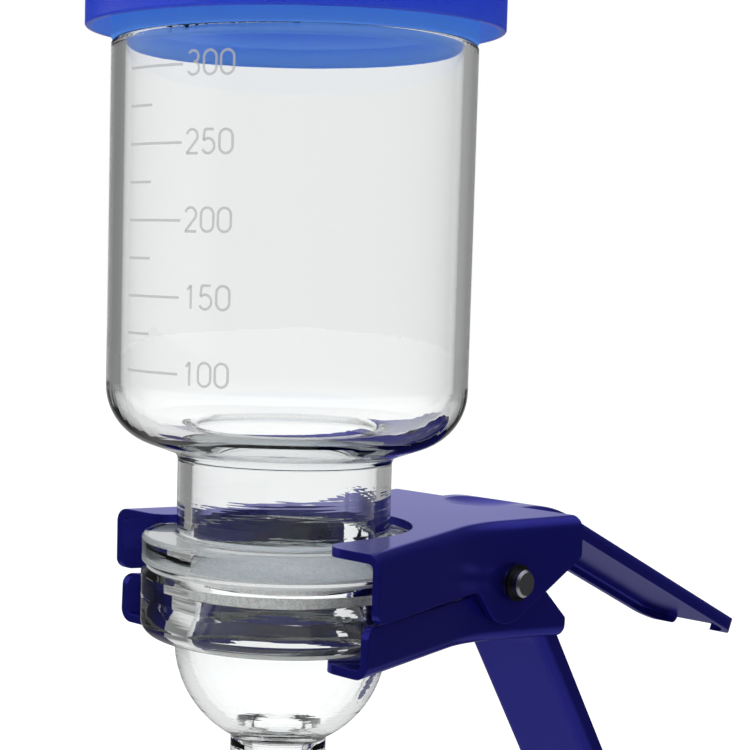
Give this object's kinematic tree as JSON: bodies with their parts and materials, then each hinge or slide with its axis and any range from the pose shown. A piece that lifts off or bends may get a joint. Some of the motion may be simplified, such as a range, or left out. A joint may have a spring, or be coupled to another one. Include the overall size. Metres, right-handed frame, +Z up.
{
  "type": "vacuum filtration unit",
  "caption": "Glass vacuum filtration unit: lidded graduated funnel and fritted support base held by a sprung clamp, with hose nozzle and ground cone, on a conical receiving flask.",
  "frame": {"origin": "centre of the flask's underside, on the table", "axes": "+Z up along the glassware's common axis, +X towards the clamp's handles, the hose nozzle points along -X"},
  "size_m": [0.2166, 0.1306, 0.4375],
  "materials": {
    "lid_plastic": "glossy, slightly translucent royal blue",
    "clear_glass": "clear borosilicate, ground matt on the joint faces",
    "sintered_glass": "white, grainy, sintered",
    "navy_enamel": "glossy navy enamel on pressed steel",
    "bright_steel": "bright drawn rod",
    "blackened_steel": "black oxide",
    "spring_steel": "drawn spring wire"
  },
  "bodies": {
    "unit": {"cap": "lid_plastic", "funnel": "clear_glass", "frit_disc": "sintered_glass", "support_base": "clear_glass", "receiving_flask": "clear_glass", "upper_lever": "navy_enamel", "pivot_pin": "bright_steel", "retaining_rings": "blackened_steel", "torsion_spring": "spring_steel"},
    "squeezed_lever": {"lower_lever": "navy_enamel"}
  },
  "joints": [
    {"name": "clamp_hinge", "type": "hinge", "parent": "unit", "child": "squeezed_lever", "pos_m": [0.0436, 0, 0.3065], "axis": [0, -1, 0], "range_deg": [0, 16], "stiffness_Nm_per_rad": 1.2, "springref_deg": -34.38, "deforming": ["torsion_spring"]}
  ]
}
